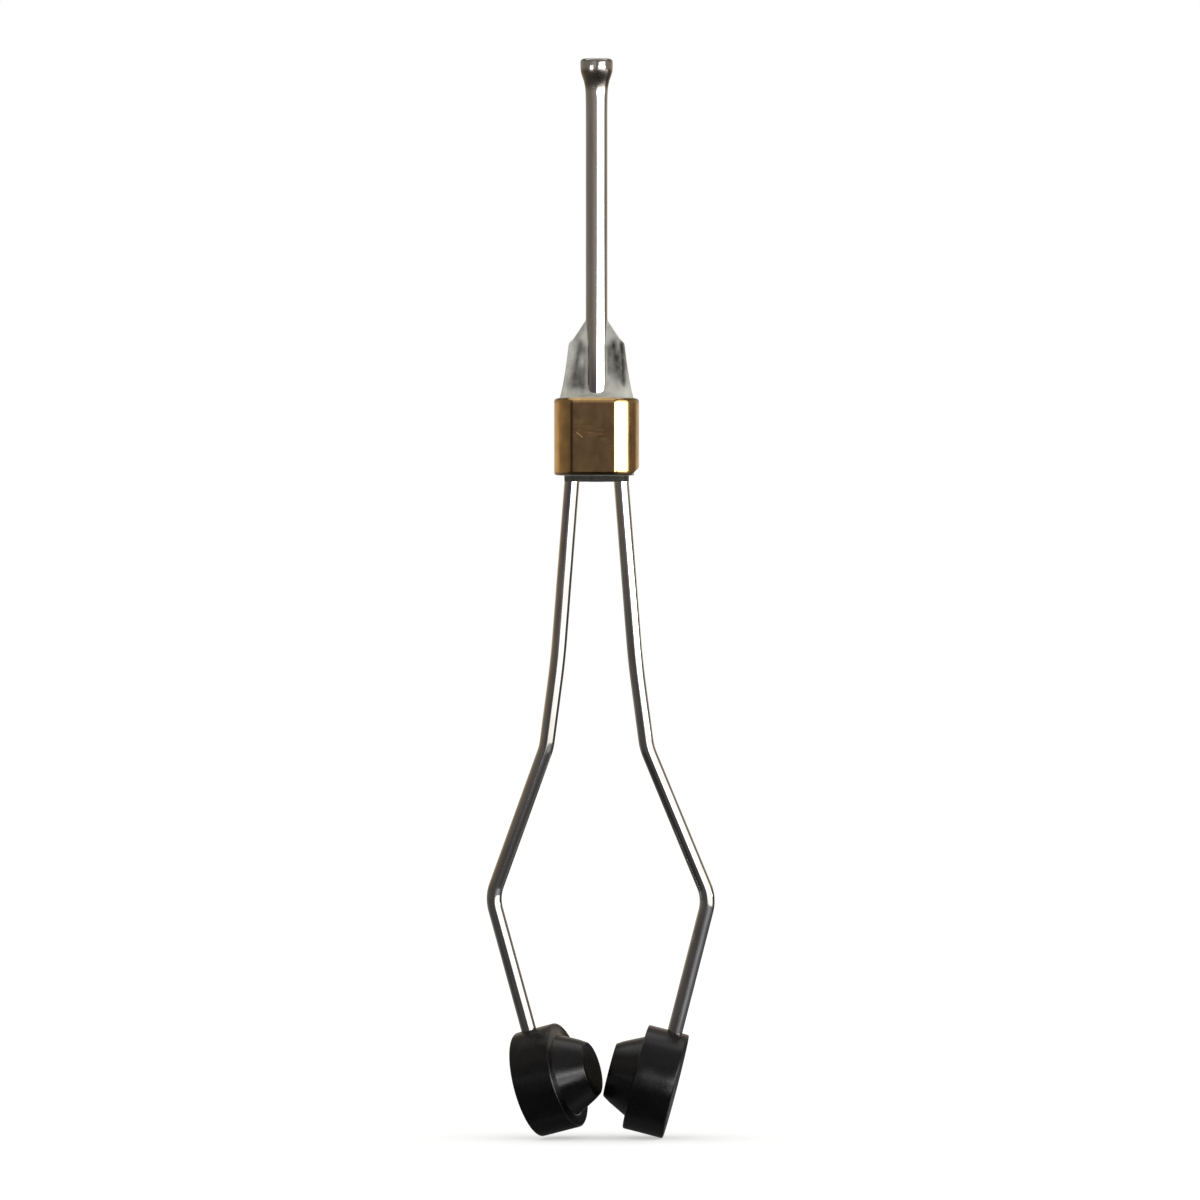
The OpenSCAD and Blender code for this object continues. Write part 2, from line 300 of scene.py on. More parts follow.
# Hard drawn carbon steel wire: bright grey, with die lines along it and a few faint handling smears.
# The lines are drawn wider than real ones, so that they show.
drawn_wire, tree, place = new_material("hard_drawn_steel_wire")
along_wire = add(tree, "ShaderNodeAttribute", {"attribute_name": "wire_place"}, {}).outputs["Vector"]
lines = noise(tree, along_wire, (0, 0, 0), wire_line_size)
smears = noise(tree, along_wire, (0, 0, 0), wire_smear_size, detail=4)
steel = add(tree, "ShaderNodeMix", {"data_type": "RGBA"}, {
    0: remap(tree, smears, 0.35, 0.7, 0.0, 1.0), 6: linear(wire_hex), 7: linear(smeared_wire_hex),
})
finish_material(tree, add(tree, "ShaderNodeBsdfPrincipled", {}, {
    "Base Color": steel.outputs[2],
    "Metallic": 1.0,
    "Roughness": remap(tree, smears, 0.3, 0.75, 0.06, 0.1),
    "Normal": bump(tree, lines, 0.0003 * MM),
}))

# The wire follows its route with a round bend at each point, and carries its length as an attribute.
bend_tree = bpy.data.node_groups.new("bent_wire", "GeometryNodeTree")
bend_tree.interface.new_socket("Geometry", in_out="INPUT", socket_type="NodeSocketGeometry")
bend_tree.interface.new_socket("Geometry", in_out="OUTPUT", socket_type="NodeSocketGeometry")
wire_inputs = {}
for name, kind in (
    ("Wire diameter", "NodeSocketFloat"), ("End rounding", "NodeSocketFloat"), ("Spacing", "NodeSocketFloat"),
    ("Sides", "NodeSocketInt"), ("Finish", "NodeSocketMaterial"),
):
    wire_inputs[name] = bend_tree.interface.new_socket(name, in_out="INPUT", socket_type=kind).identifier
given = add(bend_tree, "NodeGroupInput", {}, {})
route = add(bend_tree, "GeometryNodeMeshToCurve", {}, {"Mesh": given.outputs["Geometry"]})
bend_radius = add(bend_tree, "GeometryNodeInputNamedAttribute", {"data_type": "FLOAT"}, {
    "Name": "bend_radius",
})
bends = add(bend_tree, "GeometryNodeFilletCurve", {"mode": "POLY"}, {
    "Curve": route.outputs["Curve"], "Count": 24,
    "Radius": bend_radius.outputs["Attribute"], "Limit Radius": True,
})
even = add(bend_tree, "GeometryNodeResampleCurve", {"mode": "LENGTH"}, {
    "Curve": bends.outputs["Curve"], "Length": given.outputs["Spacing"],
})
spline = add(bend_tree, "GeometryNodeSplineParameter", {}, {})
total = add(bend_tree, "GeometryNodeSplineLength", {}, {})
to_end = add(bend_tree, "ShaderNodeMath", {"operation": "SUBTRACT"}, {
    0: total.outputs["Length"], 1: spline.outputs["Length"],
})
nearest_end = add(bend_tree, "ShaderNodeMath", {"operation": "MINIMUM"}, {
    0: to_end.outputs[0], 1: spline.outputs["Length"],
})
end_share = add(bend_tree, "ShaderNodeMapRange", {"clamp": True}, {
    "Value": nearest_end.outputs[0], "From Max": given.outputs["End rounding"],
    "To Min": wire_end_share, "To Max": 1.0,
})
rounded = add(bend_tree, "GeometryNodeSetCurveRadius", {}, {
    "Curve": even.outputs["Curve"], "Radius": end_share.outputs["Result"],
})
number_at_points = {"data_type": "FLOAT", "domain": "POINT"}
place_at_points = {"data_type": "FLOAT_VECTOR", "domain": "POINT"}
kept_length = add(bend_tree, "GeometryNodeStoreNamedAttribute", number_at_points, {
    "Geometry": rounded.outputs["Curve"], "Name": "along", "Value": spline.outputs["Length"],
})
half_wire = add(bend_tree, "ShaderNodeMath", {"operation": "MULTIPLY"}, {
    0: given.outputs["Wire diameter"], 1: 0.5,
})
circle = add(bend_tree, "GeometryNodeCurvePrimitiveCircle", {"mode": "RADIUS"}, {
    "Resolution": given.outputs["Sides"], "Radius": half_wire.outputs[0],
})
position = add(bend_tree, "GeometryNodeInputPosition", {}, {})
kept_section = add(bend_tree, "GeometryNodeStoreNamedAttribute", place_at_points, {
    "Geometry": circle.outputs["Curve"], "Name": "section", "Value": position.outputs["Position"],
})
swept = add(bend_tree, "GeometryNodeCurveToMesh", {}, {
    "Curve": kept_length.outputs["Geometry"], "Profile Curve": kept_section.outputs["Geometry"],
    "Scale": end_share.outputs["Result"], "Fill Caps": True,
})
section = add(bend_tree, "GeometryNodeInputNamedAttribute", {"data_type": "FLOAT_VECTOR"}, {
    "Name": "section",
})
along = add(bend_tree, "GeometryNodeInputNamedAttribute", {"data_type": "FLOAT"}, {"Name": "along"})
parts = add(bend_tree, "ShaderNodeSeparateXYZ", {}, {"Vector": section.outputs["Attribute"]})
joined = add(bend_tree, "ShaderNodeCombineXYZ", {}, {
    "X": parts.outputs["X"], "Y": parts.outputs["Y"], "Z": along.outputs["Attribute"],
})
placed = add(bend_tree, "GeometryNodeStoreNamedAttribute", place_at_points, {
    "Geometry": swept.outputs["Mesh"], "Name": "wire_place", "Value": joined.outputs["Vector"],
})
real = add(bend_tree, "GeometryNodeRealizeInstances", {}, {"Geometry": placed.outputs["Geometry"]})
dressed = add(bend_tree, "GeometryNodeSetMaterial", {}, {
    "Geometry": real.outputs["Geometry"], "Material": given.outputs["Finish"],
})
add(bend_tree, "NodeGroupOutput", {}, {"Geometry": dressed.outputs["Geometry"]})


def grown(source, name, tree, values, identifiers):
    """Runs a node tree on an object and returns its result as a plain named piece."""
    modifier = source.modifiers.new("grow", "NODES")
    modifier.node_group = tree
    for label, value in values.items():
        modifier[identifiers[label]] = value
    bpy.context.view_layer.update()
    result = source.evaluated_get(bpy.context.evaluated_depsgraph_get())
    mesh = bpy.data.meshes.new_from_object(result)
    bpy.data.objects.remove(source)
    mesh.name = name
    piece = bpy.data.objects.new(name, mesh)
    bpy.context.scene.collection.objects.link(piece)
    mesh.shade_smooth()
    mesh.set_sharp_from_angle(angle=math.radians(40))
    return piece


for side, sign in (("left", -1), ("right", 1)):
    points = [(sign * x, 0.0, z) for x, z in wire_routes[side]]
    line = bpy.data.meshes.new(side + "_route")
    line.from_pydata(points, [(i, i + 1) for i in range(len(points) - 1)], [])
    radii = line.attributes.new("bend_radius", "FLOAT", "POINT")
    radii.data.foreach_set("value", [0.0] + bend_radii + [0.0])
    source = bpy.data.objects.new(side + "_route", line)
    bpy.context.scene.collection.objects.link(source)
    wire = grown(source, side + "_spring_wire", bend_tree, {
        "Wire diameter": wire_d, "End rounding": wire_end_rounding, "Spacing": wire_spacing,
        "Sides": wire_sides, "Finish": drawn_wire,
    }, wire_inputs)
    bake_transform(wire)
    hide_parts(side + "_wire_root", side + "_arm")


# Collar
# A short piece of round brass tube, slipped over the thread tube and both wires, pressed flat at the front
# and back, and filled with solder. Its rims are softened, and its lower right corner has been filed.
collar_w = 8.5 * MM
collar_d = 7.2 * MM
collar_wall = 0.5 * MM
collar_turn = math.radians(6)
collar_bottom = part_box("collar")[0].z
rim_top_r = 0.35 * MM
rim_bottom_r = 0.3 * MM
flat_bevel = 0.3 * MM
flat_edge_r = 0.07 * MM
corner_cut = 0.8 * MM
collar_rows = 40
around_collar = 288
halvings = 40                # how often the search for a point of the side is narrowed
brass_hex = "CBA974"
tarnish_hex = "AE8E62"
dark_line_hex = "5E4426"
scuff_line = (-1.5 * MM, 5.2 * MM), (0.2 * MM, 4.6 * MM)
scuff_reach = 1.7 * MM
scratch_line = (-1.98 * MM, 4.85 * MM), (-1.45 * MM, 4.42 * MM)
scratch_w = 0.11 * MM
# Where a darker line runs just inside the flat's left edge.
dark_line_place = (-2.47 * MM, 1.0 * MM), (-2.47 * MM, 8.0 * MM)
dark_line_w = 0.2 * MM

# Polished brass that has dulled with handling: a thin uneven tarnish, a fine vertical grain left by the
# polish, faint slanting scuffs near the middle of the flat, one short scratch, and a darker line just
# inside the flat's left edge.
tarnished_brass, tree, place = new_material("tarnished_polished_brass")
cloud = noise(tree, place, (0, 0, 0), (1.1 * MM, 1.1 * MM, 1.6 * MM), detail=5)
grain = noise(tree, place, (0, 0, 0), (0.12 * MM, 0.12 * MM, 1.3 * MM), detail=4)
slanting = noise(tree, place, (0, 24, 0), (1.1 * MM, 1.1 * MM, 0.09 * MM), detail=3)


def near_line(tree, place, start, end, width):
    """1 on a line between two points in the XZ plane, fading to 0 at the given distance from it."""
    across = Vector((end[0] - start[0], 0, end[1] - start[1]))
    middle = Vector(((start[0] + end[0]) / 2, 0, (start[1] + end[1]) / 2))
    shifted = add(tree, "ShaderNodeVectorMath", {"operation": "SUBTRACT"}, {0: place, 1: middle}).outputs[0]
    direction = across.normalized()
    along_it = add(tree, "ShaderNodeVectorMath", {"operation": "DOT_PRODUCT"}, {0: shifted, 1: direction})
    clamped = add(tree, "ShaderNodeClamp", {}, {
        "Value": along_it.outputs["Value"], "Min": -across.length / 2, "Max": across.length / 2,
    }).outputs[0]
    on_line = add(tree, "ShaderNodeVectorMath", {"operation": "SCALE"}, {0: direction, "Scale": clamped})
    away = add(tree, "ShaderNodeVectorMath", {"operation": "SUBTRACT"}, {0: shifted, 1: on_line.outputs[0]})
    flat = add(tree, "ShaderNodeVectorMath", {"operation": "MULTIPLY"}, {0: away.outputs[0], 1: (1, 0, 1)})
    length = add(tree, "ShaderNodeVectorMath", {"operation": "LENGTH"}, {0: flat.outputs[0]}).outputs["Value"]
    return remap(tree, length, 0.0, width, 1.0, 0.0)


scuffed_middle = near_line(tree, place, *scuff_line, scuff_reach)
scuffs = add(tree, "ShaderNodeMath", {"operation": "MULTIPLY"}, {
    0: remap(tree, slanting, 0.48, 0.72, 0.0, 0.5), 1: scuffed_middle,
}).outputs[0]
scratch = near_line(tree, place, *scratch_line, scratch_w)
# A darker line just inside the flat's left edge.
dark_edge_line = near_line(tree, place, *dark_line_place, dark_line_w)
brass = add(tree, "ShaderNodeMix", {"data_type": "RGBA"}, {
    0: remap(tree, cloud, 0.35, 0.7, 0.0, 1.0), 6: linear(brass_hex), 7: linear(tarnish_hex),
})
edge_lined = add(tree, "ShaderNodeMix", {"data_type": "RGBA"}, {
    0: remap(tree, dark_edge_line, 0.2, 0.8, 0.0, 0.85), 6: brass.outputs[2], 7: linear(dark_line_hex),
})
marks = add(tree, "ShaderNodeMath", {"operation": "MAXIMUM"}, {0: scuffs, 1: scratch}).outputs[0]
relief = add(tree, "ShaderNodeMath", {"operation": "MULTIPLY_ADD"}, {0: grain, 1: 0.12, 2: marks}).outputs[0]
finish_material(tree, add(tree, "ShaderNodeBsdfPrincipled", {}, {
    "Base Color": edge_lined.outputs[2],
    "Metallic": 1.0,
    "Roughness": remap(tree, marks, 0.0, 1.0, 0.14, 0.34),
    "Normal": bump(tree, relief, 0.004 * MM),
}))


def pressed_radius(angle, inset, flat_inset):
    """Distance from the axis to the collar's side at an angle, with insets of its round and of its flats."""
    lean = abs(math.sin(angle + collar_turn))
    low, high = 0.0, collar_w / 2
    for _ in range(halvings):
        r = (low + high) / 2
        past_round = r - (collar_w / 2 - inset)
        past_flat = r * lean - (collar_d / 2 - flat_inset)
        near = max(flat_edge_r - abs(past_round - past_flat), 0) / flat_edge_r
        past = max(past_round, past_flat) + near * near * flat_edge_r / 4
        low, high = (r, high) if past < 0 else (low, r)
    return low


def filed(point):
    """Moves a point that lies beyond the filed corner back onto it."""
    x, y, z = point
    past = (x - (collar_w / 2 - corner_cut)) - (z - collar_bottom)
    if past <= 0:
        return point
    return (x - past / 2, y, z + past / 2)


row_bottom = collar_bottom + rim_bottom_r
row_top = collar_top - rim_top_r
low_rim = [(rim_bottom_r - x, z) for x, z in corner((0.0, row_bottom), rim_bottom_r, -90, 0, 8)]
top_rim = [(rim_top_r - x, z) for x, z in corner((0.0, row_top), rim_top_r, 0, 90, 8)]
rows = [(0.0, row_bottom + (row_top - row_bottom) * i / collar_rows) for i in range(1, collar_rows)]
bevelled = [
    (inset, max(0.0, flat_bevel - min(z - collar_bottom, collar_top - z)), z)
    for inset, z in low_rim + rows + top_rim
]
bevelled = [(collar_wall, collar_wall, collar_bottom)] + bevelled + [(collar_wall, collar_wall, collar_top)]
collar_points = []
for inset, flat_inset, z in bevelled:
    for k in range(around_collar):
        angle = 2 * math.pi * k / around_collar
        r = pressed_radius(angle, inset, flat_inset)
        collar_points.append(filed((r * math.cos(angle), r * math.sin(angle), z)))
collar = mesh_piece(
    "brass_collar", collar_points, ring_faces(len(bevelled), around_collar, closed=True), tarnished_brass, 30,
)
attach(collar, "frame")
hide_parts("collar")


# Solder
# One body of tin solder that fills the collar. It wets the wires' upper ends, climbs between them and the
# tube in two thin webs, and stands a little below the collar as a plug between the wires.
web_t = 1.1 * MM
web_climb = 2.3 * MM
web_edge_r = 0.3 * MM
mound_l = 1.3 * MM
mound_power = 3.4            # how steeply the mound falls away from the collar
mound_join = 0.6 * MM
plug_d = 3 * MM
plug_edge_r = 1.2 * MM
plug_inset = 0.2 * MM
plug_join = 0.45 * MM
wire_end_r = 0.5 * MM
wire_join = 0.6 * MM
tube_join = 0.15 * MM
tube_overlap = 0.03 * MM
bare_wire_film = -0.05 * MM  # below the collar the solder leaves the wires bare
solder_film = 0.03 * MM
film_at_collar = 0.1 * MM
film_fade = 2 * MM
wire_r = wire_d / 2
web_top = wire_top + web_climb
solder_inner_r = tube_r - 0.12 * MM
around_solder = 320
search_r = 4.5 * MM
search_steps = 90
narrowings = 14
solder_hex = "D6D6CC"
cloudy_solder_hex = "B8B4AB"
painted_light_patch_hex = "F0F0E6"
groove_shade_and_flux_hex = "1E1C1A"


def smooth_join(a, b, soft):
    """The nearer of two surfaces' distances, with a fillet of the given size where they meet."""
    near = np.maximum(soft - np.abs(a - b), 0) / soft
    return np.minimum(a, b) - near * near * soft / 4


def smooth_cut(a, b, soft):
    """The further of two surfaces' distances, with a rounded edge where they cross."""
    return -smooth_join(-a, -b, soft)


def wire_distance(x, y, z, film):
    """Distance from points to a skin of the given thickness on the wires, the same on both sides."""
    x = np.abs(x)
    best = np.full(x.shape, 1.0)
    for (ax, az), (bx, bz) in zip(wire_routes["right"][:3], wire_routes["right"][1:4]):
        leg = (bx - ax, bz - az)
        share = np.clip(((x - ax) * leg[0] + (z - az) * leg[1]) / (leg[0] ** 2 + leg[1] ** 2), 0, 1)
        away_x, away_z = x - ax - share * leg[0], z - az - share * leg[1]
        best = np.minimum(best, np.sqrt(away_x ** 2 + y ** 2 + away_z ** 2))
    return smooth_cut(best - wire_r - film, z - wire_top - film, wire_end_r)


def solder_distance(x, y, z):
    """Distance from points to the skin of the solder, below zero inside it."""
    from_axis = np.sqrt(x ** 2 + y ** 2)
    tube = from_axis - (tube_r - tube_overlap)
    above = np.maximum(z - collar_top, 0)
    climb = np.clip((z - wire_top) / web_climb, 0, 1)
    web_half = (wire_routes["right"][0][0] + 0.9 * wire_r) * (1 - climb) + tube_r * climb
    thin = web_t / 2 * (1 - 0.5 * climb)
    web = smooth_cut(np.abs(y) - thin, np.abs(x) - web_half, web_edge_r)
    cavity = np.maximum(
        from_axis - (collar_w / 2 - collar_wall),
        np.abs(y * math.cos(collar_turn) + x * math.sin(collar_turn)) - (collar_d / 2 - collar_wall),
    )
    rise = np.clip(above / mound_l, 0, 1)
    fall = (collar_d / 2 - collar_wall - web_t / 2) * (1 - (1 - rise) ** mound_power)
    mound = cavity + fall + above * (rise >= 1)
    plug_half = mouth_x + wire_r - plug_inset
    plug = smooth_cut(np.abs(y) - plug_d / 2, np.abs(x) - plug_half, plug_edge_r)
    below = z < collar_bottom
    film = solder_film + film_at_collar * (1 - np.clip(above / film_fade, 0, 1)) ** 2
    wires = wire_distance(x, y, z, np.where(below, bare_wire_film, film))
    upper = smooth_join(smooth_join(web, wires, wire_join), mound, mound_join)
    lower = smooth_join(plug, wires, plug_join)
    return smooth_join(np.where(below, lower, np.where(above > 0, upper, cavity)), tube, tube_join)


# The mesh is a stack of slices, close together where the solder shows and far apart inside the collar.
solder_heights = np.concatenate([
    np.linspace(tube_bottom + 0.02 * MM, collar_bottom - 0.01 * MM, 14),
    np.linspace(collar_bottom + 0.01 * MM, collar_top - 0.01 * MM, 6),
    np.linspace(collar_top + 0.01 * MM, collar_top + 1.5 * MM, 75),
    np.linspace(collar_top + 1.55 * MM, web_top + 0.1 * MM, 150),
])


def fan(z):
    """Directions from the axis round a slice. One is always at the edge of the wire, as the axis sees it."""
    wire_x = np.interp(z, [0.0, collar_top, wire_top], [mouth_x, rim_x, wire_routes["right"][0][0]])
    edge = math.asin((wire_r + solder_film) / wire_x)
    quarter = around_solder // 4
    first = np.concatenate([
        np.linspace(0, edge, quarter // 2, endpoint=False),
        np.linspace(edge, math.pi / 2, quarter - quarter // 2, endpoint=False),
    ])
    half = np.concatenate([first, [math.pi / 2], math.pi - first[:0:-1]])
    angles = np.concatenate([half, half + math.pi])
    return np.cos(angles), np.sin(angles)


solder_points = []
for z in solder_heights:
    directions = fan(z)
    heights = np.full(around_solder, z)
    outer_r = np.full(around_solder, search_r)
    found = np.zeros(around_solder, bool)
    inner_r = np.full(around_solder, solder_inner_r)
    for r in np.linspace(search_r, solder_inner_r, search_steps):
        hit = ~found & (solder_distance(r * directions[0], r * directions[1], heights) < 0)
        inner_r[hit] = r
        found |= hit
        outer_r[~found] = r
    for _ in range(narrowings):
        middle = (outer_r + inner_r) / 2
        distance = solder_distance(middle * directions[0], middle * directions[1], heights)
        inner_r = np.where(distance < 0, middle, inner_r)
        outer_r = np.where(distance < 0, outer_r, middle)
    solder_points += [(a, b, z) for a, b in zip(inner_r * directions[0], inner_r * directions[1])]
for z in (solder_heights[-1], solder_heights[0]):
    directions = fan(z)
    inner_ring = solder_inner_r * directions[0], solder_inner_r * directions[1]
    solder_points += [(a, b, z) for a, b in zip(*inner_ring)]

# Tin solder as it set: dulled to a soft satin grey by oxide and pebbled by the flux. Dark runs down the
# grooves beside the tube are painted shade of the grooves together with flux stain, a lighter patch low at
# the right is a painted light patch, and the solder is darker below the collar. The runs are an attribute of
# the mesh. Each run has its start and its end as x and z, and its width, in mm, then its strength. The
# painted light patch is below 0.
groove_and_light_runs = [
    (-1.6, 13.6, -2.35, 9.8, 0.36, 0.9), (-1.25, 11.2, -1.4, 9.6, 0.4, 0.75),
    (-2.2, 10.8, -2.5, 9.6, 0.36, 0.5), (-1.2, 13.4, -1.25, 11.2, 0.2, 0.5),
    (-2.0, 14.5, -1.3, 15.6, 0.4, 0.3),
    (1.72, 13.6, 1.95, 10.7, 0.46, 1.0), (2.52, 13.6, 2.7, 9.8, 0.34, 1.0),
    (2.15, 12.8, 2.3, 10.6, 0.42, 0.9), (1.2, 13.4, 1.3, 11.0, 0.25, 0.7),
    # The last run is a painted light patch, low at the right just above the collar.
    (2.0, 9.2, 2.9, 8.8, 0.5, -0.8),
]


def groove_shade_and_light(x, z):
    """Share of painted groove shade and flux stain at a point of the solder, in mm, or below 0 for the
    painted light patch.
    """
    dark_share = light = 0.0
    for x0, z0, x1, z1, width, strength in groove_and_light_runs:
        run = (x1 - x0, z1 - z0)
        share = max(0.0, min(1.0, ((x - x0) * run[0] + (z - z0) * run[1]) / (run[0] ** 2 + run[1] ** 2)))
        away = math.hypot(x - x0 - share * run[0], (z - z0 - share * run[1]) * 0.6)
        dark_share = max(dark_share, strength * math.exp(-(away / width) ** 2))
        light = max(light, -strength * math.exp(-(away / width) ** 2))
    return dark_share - light


set_solder, tree, place = new_material("dull_tin_solder")
pebbles = noise(tree, place, (31, 52, 24), (0.6 * MM, 0.6 * MM, 0.6 * MM), detail=5)
patches = noise(tree, place, (13, 38, 27), (0.8 * MM, 0.8 * MM, 1.3 * MM), detail=4)
height = add(tree, "ShaderNodeSeparateXYZ", {}, {"Vector": place}).outputs["Z"]
tin = add(tree, "ShaderNodeMix", {"data_type": "RGBA"}, {
    0: remap(tree, patches, 0.4, 0.65, 0.0, 1.0), 6: linear(solder_hex), 7: linear(cloudy_solder_hex),
})
groove_and_light_share = add(tree, "ShaderNodeAttribute", {"attribute_name": "groove_and_light_marks"}, {}).outputs["Fac"]
uneven = add(tree, "ShaderNodeMath", {"operation": "MULTIPLY"}, {
    0: groove_and_light_share, 1: remap(tree, pebbles, 0.3, 0.6, 0.8, 1.0),
}).outputs[0]
# The solder is darker below 0.8 mm, across the plug under the collar.
all_darkening = add(tree, "ShaderNodeMath", {"operation": "MAXIMUM"}, {
    0: uneven, 1: remap(tree, height, 0.5 * MM, 0.8 * MM, 0.9, 0.0),
}).outputs[0]
# The painted light patch, where the runs' share is below 0.
light_patched = add(tree, "ShaderNodeMix", {"data_type": "RGBA"}, {
    0: remap(tree, groove_and_light_share, -1.0, 0.0, 1.0, 0.0), 6: tin.outputs[2], 7: linear(painted_light_patch_hex),
})
# Painted groove shade with flux stain, and the darker solder below the collar.
darkened = add(tree, "ShaderNodeMix", {"data_type": "RGBA"}, {
    0: all_darkening, 6: light_patched.outputs[2], 7: linear(groove_shade_and_flux_hex),
})
finish_material(tree, add(tree, "ShaderNodeBsdfPrincipled", {}, {
    "Base Color": darkened.outputs[2],
    "Metallic": 0.0,
    "Specular IOR Level": remap(tree, all_darkening, 0.0, 0.8, 0.35, 0.12),
    "Roughness": remap(tree, pebbles, 0.3, 0.7, 0.45, 0.6),
    "Normal": bump(tree, pebbles, 0.015 * MM),
}))
solder = mesh_piece(
    "solder_fill", solder_points,
    ring_faces(len(solder_heights) + 2, around_solder, closed=True), set_solder, 60,
)
solder.data.attributes.new("groove_and_light_marks", "FLOAT", "POINT").data.foreach_set(
    "value", [groove_shade_and_light(v.co.x / MM, v.co.z / MM) for v in solder.data.vertices],
)
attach(solder, "frame")
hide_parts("solder")


# Feet
# Two black acetal feet, turned on a lathe: a thick disc that stops the spool, and a short cone nose that
# goes into the spool's end. Each is pushed on its wire through a blind hole in the disc's rim.
foot_d = 10.66 * MM
disc_t = 4.15 * MM
wire_inset = 1.45 * MM
nose_base_d = 8.24 * MM
nose_tip_d = 5.56 * MM
nose_l = 2.68 * MM
foot_edge_r = 0.18 * MM
nose_fillet_w = 0.1 * MM
nose_fillet_h = 0.06 * MM
countersink_l = 0.25 * MM
hole_past_axis = 2.03 * MM
drill_past_rim = 0.5 * MM
around_foot = 128
around_hole = 48
foot_r = foot_d / 2
disc_front = disc_t - wire_inset
nose_reach = disc_front + nose_l
hole_r = wire_r + 0.05 * MM
hole_mouth_r = wire_r + 0.2 * MM
foot_turns = {"left": 17, "right": -3}
acetal_hex = "090809"
grimy_acetal_hex = "110F10"

# Black acetal as turned: a satin black with fine rings from the tool, seen mainly on the faces and the rim.
turned_acetal, tree = new_material("turned_black_acetal")[:2]
own_place = add(tree, "ShaderNodeAttribute", {"attribute_name": "foot_place"}, {}).outputs["Vector"]
split = add(tree, "ShaderNodeSeparateXYZ", {}, {"Vector": own_place})
from_axis = add(tree, "ShaderNodeVectorMath", {"operation": "LENGTH"}, {
    0: add(tree, "ShaderNodeCombineXYZ", {}, {"X": split.outputs["X"], "Y": split.outputs["Y"]}).outputs[0],
})
ring_place = add(tree, "ShaderNodeCombineXYZ", {}, {"X": from_axis.outputs["Value"], "Z": split.outputs["Z"]})
tool_rings = noise(tree, ring_place.outputs[0], (0, 0, 0), (0.09 * MM, 1.0, 0.09 * MM), detail=2)
grime = noise(tree, own_place, (0, 0, 0), (1.5 * MM, 1.5 * MM, 1.5 * MM), detail=5)
black = add(tree, "ShaderNodeMix", {"data_type": "RGBA"}, {
    0: remap(tree, grime, 0.3, 0.75, 0.0, 1.0), 6: linear(acetal_hex), 7: linear(grimy_acetal_hex),
})
finish_material(tree, add(tree, "ShaderNodeBsdfPrincipled", {}, {
    "Base Color": black.outputs[2],
    "IOR": 1.48,
    "Roughness": remap(tree, grime, 0.3, 0.7, 0.22, 0.31),
    "Normal": bump(tree, tool_rings, 0.003 * MM),
}))

slope = math.degrees(math.atan((nose_base_d - nose_tip_d) / 2 / nose_l))
foot_outline = [(0.0, -wire_inset)]
foot_outline += [(foot_r * s, -wire_inset) for s in (0.3, 0.6, 0.85)]
foot_outline += corner((foot_r - foot_edge_r, foot_edge_r - wire_inset), foot_edge_r, -90, 0, 6)
foot_outline += [(foot_r, -wire_inset + disc_t * s) for s in (0.25, 0.5, 0.75)]
foot_outline += corner((foot_r - foot_edge_r, disc_front - foot_edge_r), foot_edge_r, 0, 90, 6)
foot_outline += [(nose_base_d / 2 + nose_fillet_w, disc_front)]
foot_outline += [(nose_base_d / 2 - nose_fillet_h / 2, disc_front + nose_fillet_h)]
foot_outline += [
    (nose_base_d / 2 + (nose_tip_d - nose_base_d) / 2 * s, disc_front + nose_l * s) for s in (0.25, 0.5, 0.75)
]
foot_outline += corner((nose_tip_d / 2 - foot_edge_r, nose_reach - foot_edge_r), foot_edge_r, slope, 90, 6)
foot_outline += [(nose_tip_d / 2 * s, nose_reach) for s in (0.6, 0.3)] + [(0.0, nose_reach)]


def lathe(name, outline, around, material):
    """A solid turned about Z from an outline that starts and ends on the axis."""
    inner_outline = outline[1:-1]
    points = turned(inner_outline, around) + [(0, 0, outline[0][1]), (0, 0, outline[-1][1])]
    faces = ring_faces(len(inner_outline), around, closed=False)
    first, last = len(points) - 2, len(points) - 1
    top = (len(inner_outline) - 1) * around
    for k in range(around):
        m = (k + 1) % around
        faces.append((first, m, k))
        faces.append((last, top + k, top + m))
    return mesh_piece(name, points, faces, material)


drill_outline = [
    (0.0, -hole_past_axis), (hole_r, -hole_past_axis), (hole_r, foot_r - countersink_l),
    (hole_mouth_r, foot_r + 0.05 * MM), (hole_mouth_r, foot_r + drill_past_rim),
    (0.0, foot_r + drill_past_rim),
]
for side in ("left", "right"):
    foot = lathe(side + "_foot_turned", foot_outline, around_foot, turned_acetal)
    drill = lathe(side + "_drill", drill_outline, around_hole, turned_acetal)
    drill.data.transform(Matrix.Rotation(math.radians(90), 4, "Y"))
    cut = foot.modifiers.new("drill", "BOOLEAN")
    cut.operation = "DIFFERENCE"
    cut.object = drill
    cut.solver = "EXACT"
    bpy.context.view_layer.update()
    mesh = bpy.data.meshes.new_from_object(foot.evaluated_get(bpy.context.evaluated_depsgraph_get()))
    foot.modifiers.clear()
    foot.data = mesh
    bpy.data.objects.remove(drill)
    places = np.zeros(len(mesh.vertices) * 3, np.float32)
    mesh.vertices.foreach_get("co", places)
    mesh.attributes.new("foot_place", "FLOAT_VECTOR", "POINT").data.foreach_set("vector", places)
    tilt = last_tilts[side]
    centre_x, centre_z = leg_end(wire_routes[side][5], to_foot, -tilt)
    pose = (
        Matrix.Translation((centre_x, 0, centre_z))
        @ Matrix.Rotation(math.radians(tilt - 90), 4, "Y")
        @ Matrix.Rotation(math.radians(foot_turns[side]), 4, "X")
    )
    if side == "left":
        pose = Matrix.Scale(-1, 4, (1, 0, 0)) @ pose
        mesh.transform(pose)
        mesh.flip_normals()
    else:
        mesh.transform(pose)
    mesh.shade_smooth()
    mesh.set_sharp_from_angle(angle=math.radians(35))
    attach(foot, side + "_foot")
    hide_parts(side + "_foot")


